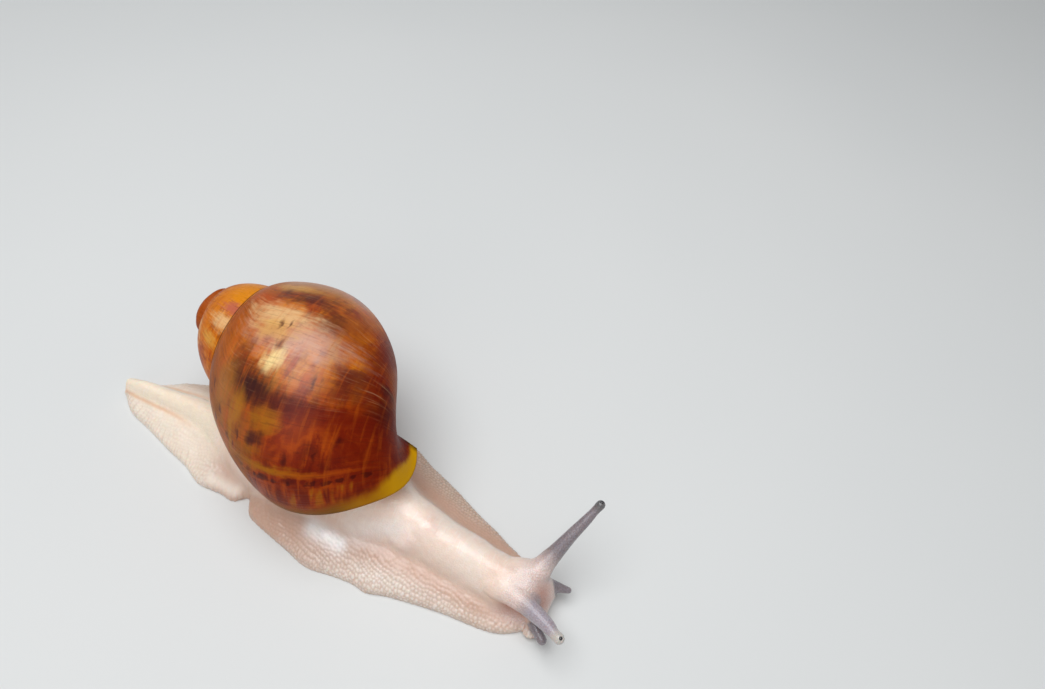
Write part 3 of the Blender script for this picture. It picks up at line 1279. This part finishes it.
skin_bm.normal_update()
normals = np.array([v.normal[:] for v in skin_bm.verts])
upper = step_up(normals[:, 2], -0.2, 0.25) * step_up(zs, 0.15, 0.8)
off_stalks = upper * (1 - zones["stalk"])
on_sides = 0.35 + 0.65 * step_up(off_ridge, 1.0, 1.5)
on_neck = zones["ridge"] * (1 - 0.8 * zones["tail"])
cobbled = off_stalks * np.maximum(on_sides, 0.7 * zones["tail"])
for zone, less in ((zones["tail"], 0.5), (zones["pale_lobe"], 0.8), (on_neck, 0.93),
                   (zones["head"], 0.85)):
    cobbled = cobbled * (1 - less * zone)
ripple = np.abs(np.sin(np.pi * (ys / 1.05 + 1.3 * wavering[:, 2])))
furrow = (1 - ripple) ** 3 * zones["fringe"] * off_stalks
broad = np.array([noise.noise(Vector(p) * 0.16) + 0.5 * noise.noise(Vector(p) * 0.45)
                  for p in points])
relief = (TUBERCLE_HIGH * (1 - 0.5 * zones["wet"]) * (tubercle - 0.6) * cobbled
          - FURROW_DEEP * furrow + UNEVEN * broad * off_stalks * (1 - 0.6 * zones["head"])
          + SWELLING_HIGH * zones["swelling"] - HOLLOW_DEEP * zones["hollow"])
for vert, normal, up in zip(skin_bm.verts, normals, relief):
    vert.co += Vector(normal) * up
print("relief from", round(relief.min(), 2), "to", round(relief.max(), 2), "mm")

# %% [markdown]
# ## Triangles where they are seen
#
# The sole lies flat on the floor and much of the back is inside the shell. There the
# skin needs few triangles. A point is inside if a straight line out from it crosses the
# shell's surface an odd number of times. We give hidden points a weight, and a Decimate
# modifier thins the mesh only where the weight is.

# %% Thin the skin where it is hidden
WELL_INSIDE, KEEP = 0.9, 0.5            # mm from the shell's surface; share of triangles kept


def inside(tree, place, along=Vector((0.1, -0.2, 1.0)).normalized()):
    """True where a line out from the place crosses the surface an odd number of times."""
    crossings = 0
    hit = tree.ray_cast(place, along)[0]
    while hit is not None:
        crossings += 1
        hit = tree.ray_cast(hit + along * 0.001, along)[0]
    return crossings % 2 == 1


def hidden_points(tree):
    """True for each point on the flat sole or well inside the shell."""
    hidden = (zs < 0.1) & (edge_far > 0.8)
    under_shell = (ys > -16) & (ys < 34) & (zs > 3.0)
    for i in np.nonzero(under_shell)[0]:
        place = Vector(points[i])
        if tree.find_nearest(place)[3] > WELL_INSIDE and inside(tree, place):
            hidden[i] = True
    return hidden


def thinned(bm, spare, keep):
    layer = bm.verts.layers.deform.verify()
    for i in np.nonzero(spare)[0]:
        bm.verts[i][layer][0] = 1.0
    raw = as_object("skin_raw", bm)
    raw.vertex_groups.new(name="spare")
    return modified(raw, "DECIMATE", ratio=keep, vertex_group="spare")


zones["tubercle"] = tubercle * cobbled
zones["furrow"] = furrow
for name, zone in zones.items():
    layer = skin_bm.verts.layers.float.new(name)
    for vert, value in zip(skin_bm.verts, zone):
        vert[layer] = float(value)
layer = skin_bm.verts.layers.float_vector.new("body_map")
for vert, *place in zip(skin_bm.verts, lengthways, girth, zs):
    vert[layer] = Vector(place)
hidden = hidden_points(shell_tree)
print(f"hidden: {hidden.mean():.1%} of the points")
skin_bm.verts.ensure_lookup_table()
skin_bm = thinned(skin_bm, hidden, KEEP)
print("the skin has", sum(len(f.verts) - 2 for f in skin_bm.faces), "triangles")

# %% [markdown]
# ## The skin's material
#
# Moist skin lets light in and scatters it, so it glows a little from within: that is
# subsurface scattering. Its colour is cream on the skirt, peach in the furrows and on
# the neck, pinkish on the head and grey-mauve on the tentacles. A thin wet film gives
# small bright glints, broken by the cobbled relief.

# %% Material of the skin
def skin_material():
    look, g = new_material("moist_skin", 0.4)
    mixed, over, span, times = g.mixed, g.over, g.span, g.times
    place = g.place()
    zone = {name: g.attribute(name) for name in zones}

    def touched(ground, *rows):
        for name, strength, *paint in rows:
            ground = over(ground, paint, zone[name], strength)
        return ground

    patch = span(g.noise(place, 110.0, 4.0), 0.36, 0.64)
    speckle = span(g.noise(place, 900.0, 3.0), 0.3, 0.7)
    # skirt and tail: cream cushions with warmer furrows
    cushion = mixed(patch, (234, 222, 211), (224, 208, 196))
    cushion = touched(cushion, ("tail", 0.8, 250, 238, 218))
    between = mixed(patch, (211, 189, 172), (200, 173, 156))
    between = touched(between, ("tail", 0.8, 244, 227, 208))
    skirt = mixed(zone["tubercle"], between, cushion)
    skirt = touched(skirt, ("furrow", 0.4, 206, 164, 136))
    tan = mixed(zone["tubercle"], (166, 130, 106), (204, 174, 150))
    skirt = over(skirt, tan, zone["far_side"], 0.6)
    skirt = over(skirt, tan, zone["rear_lobe"], 0.55)
    # neck: smooth peach cream with faint pale lines across it
    striae = g.stretched(g.attribute("body_map", "Vector"), (3.2, 0.35, 0.35), 3.0, 0.4)
    neck = mixed(patch, (247, 227, 211), (243, 213, 194))
    neck = touched(neck, ("tail", 0.8, 250, 232, 206))
    neck = over(neck, (250, 238, 230), span(striae, 0.5, 0.7), 0.35)
    body = touched(mixed(zone["ridge"], skirt, neck),
                   ("groove", 0.85, 202, 162, 140), ("crease", 0.7, 226, 176, 134),
                   ("pale_lobe", 0.7, 250, 238, 224), ("wet", 0.8, 252, 250, 248))
    # head: pale pebbles on pinkish mauve
    cells = g.add("TexVoronoi", {"Vector": place, "Scale": 2900.0, "Randomness": 0.8})
    pebble = span(cells.outputs["Distance"], 0.8, 0.1)
    face = mixed(pebble, (216, 188, 180), (232, 212, 206))
    body = over(body, face, zone["head"], 0.85)
    body = touched(body, ("swelling", 0.4, 250, 222, 212), ("hollow", 0.8, 176, 106, 78))
    # tentacles: grey mauve with pale net, dark cap on the left one, clear bulb on the right
    grey = mixed(pebble, (126, 114, 118), (142, 132, 137))
    lilac = mixed(pebble, (160, 146, 153), (178, 168, 176))
    body = over(body, mixed(zone["right_stalk"], grey, lilac), zone["stalk"])
    cap = mixed(zone["right_stalk"], (84, 86, 84), (208, 200, 188))
    body = over(body, cap, zone["bulb"], 0.85)
    body = over(body, (150, 100, 80), speckle, 0.06)
    # relief finer than the mesh: pebbles on head and stalks, small grain everywhere
    headish = g.math("MAXIMUM", zone["head"], zone["stalk"])
    pebbled = times(pebble, g.math("MAXIMUM", headish, times(zone["ridge"], 0.3)))
    grain = g.group(GRAIN, {"Vector": place, "Size": 0.00045, "Roughness": 0.55})
    height = g.times_plus(grain, 0.45, times(pebbled, 2.0))
    height = g.times_plus(times(striae, zone["ridge"]), 0.9, height)
    g.relief(height, 0.5, 0.00012)
    g.film(place, 0.004, 0.48, 0.28)
    soaked = g.math("MAXIMUM", zone["swelling"], times(zone["wet"], 0.7))
    soaked = g.math("MAXIMUM", soaked, times(headish, 0.6))
    g.surface({"Base Color": body, "Subsurface Weight": 0.3, "Subsurface Scale": 0.001,
               "Subsurface Radius": (1.0, 0.5, 0.3), "Coat Roughness": 0.2,
               "Coat Weight": span(soaked, 0.1, 0.9, 0.45, 1.0)})
    return look


flesh_nodes = ["head", "neck", "back", "foot_front", "foot_rear", "tail", "mantle_collar",
               "tentacle_upper_left", "tentacle_upper_right", "tentacle_lower_left",
               "tentacle_lower_right", "mouth_lobe_left", "mouth_lobe_right"]
finished("skin", face_out(skin_bm), skin_material(), flesh_nodes)

# %% [markdown]
# ## The eyes
#
# Each upper tentacle ends in a pale bulb with a small dark eye under its skin. A glossy
# dark ball, sunk as deep as the real one, is what the light catches.

# %% Eyes
EYE_RADIUS = 0.40


def eye_material():
    look, g = new_material("dark_eye", 0.12)
    place = g.place()
    tone = g.mixed(g.noise(place, 3000.0), (10, 8, 10), (38, 30, 34))
    g.relief(g.group(GRAIN, {"Vector": place, "Size": 0.0002, "Roughness": 0.5}), 0.1, 0.00002)
    g.film(place, 0.0006, 0.2, 0.08)
    g.surface({"Base Color": tone, "Coat Weight": 1.0})
    return look


eye_look = eye_material()
for side in UPPER_TENTACLES:
    finished("eye_ball_" + side, ball(eye_place(side), [EYE_RADIUS] * 3, (32, 20)),
             eye_look, ["eye_" + side])

# %% [markdown]
# ## Floor and light
#
# A plain pale floor, one large soft light above like an overcast sky, and a gentle fill.
# Large lights make the broad soft sheen that a wet shell has outdoors.

# %% Studio
HALF_FLOOR = 1.5
LIT_PLACE = Vector((0, 0, 0.01))                # all lights point here


def floor():
    bm = bmesh.new()
    bmesh.ops.create_grid(bm, x_segments=1, y_segments=1, size=HALF_FLOOR)
    made = as_object("floor", bm)
    look, g = new_material("pale_floor", 0.7)
    cloud = g.noise(g.place(), 8.0)
    g.surface({"Base Color": g.mixed(cloud, (214, 214, 212), (222, 221, 218))})
    made.data.materials.append(look)


def softbox(name, place, size, power, tint):
    data = bpy.data.lights.new(name, "AREA")
    data.shape, data.size, data.energy, data.color = "DISK", size, power, tint
    made = in_scene(name, data)
    made.location = Vector(place)
    made.rotation_euler = (LIT_PLACE - made.location).to_track_quat("-Z", "Y").to_euler()


floor()
softbox("sky", (-0.04, 0.04, 0.50), 0.5, 2.45, (0.94, 0.97, 1.0))
softbox("near side", (-0.50, -0.16, 0.20), 0.60, 0.54, (1.0, 0.98, 0.96))
world = bpy.data.worlds.new("studio")
world.use_nodes = True
background = world.node_tree.nodes["Background"].inputs
background["Color"].default_value = (0.92, 0.96, 1.0, 1.0)
background["Strength"].default_value = 0.28
bpy.context.scene.world = world
bpy.context.scene.view_settings.view_transform = "Standard"
print("lights:", [light.name for light in bpy.data.lights])

# %% Write both boxes and finish
bpy.context.view_layer.update()
